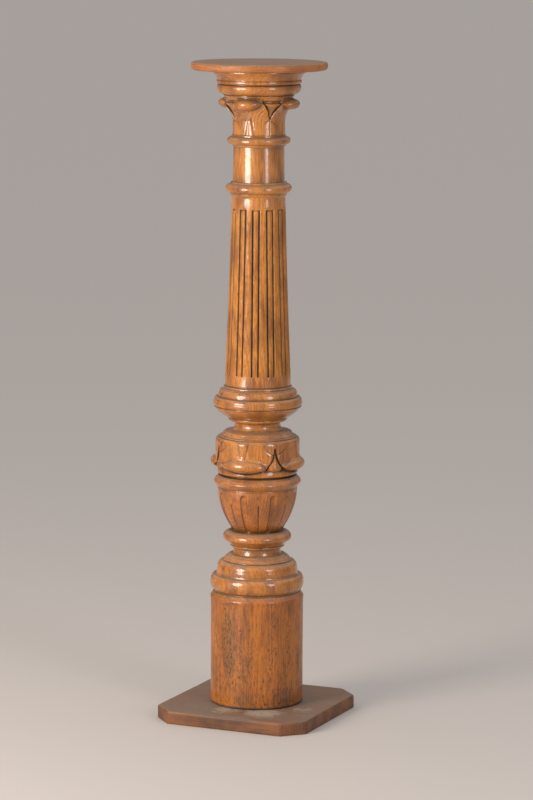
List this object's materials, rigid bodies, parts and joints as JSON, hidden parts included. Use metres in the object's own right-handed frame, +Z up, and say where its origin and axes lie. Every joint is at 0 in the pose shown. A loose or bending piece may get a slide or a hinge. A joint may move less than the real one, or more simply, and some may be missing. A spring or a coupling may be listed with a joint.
{
  "type": "carved oak pedestal column",
  "caption": "Turned and carved oak pedestal column with reeded flutes, leaf capital, leaf drum and bowl, on a square board with a round top.",
  "frame": {"origin": "centre of the base board's underside, on the column's axis, where the object stands on the floor", "axes": "+Z up along the column's axis, +X and +Y square to the sides of the base board, -Y towards the side seen most in the picture"},
  "size_m": [0.2854, 0.2854, 1.15],
  "materials": {
    "oak_varnished": "old golden oak varnish, glossy, with grey dust on ledges and dark dirt in the grooves",
    "oak_top": "worn varnish, matte grey-brown top and warmer edge",
    "oak_board": "dull stained oak, scuffed top, darker sides"
  },
  "bodies": {
    "root": {"base_board": "oak_board", "column": "oak_varnished", "top_disc": "oak_top"}
  },
  "joints": []
}
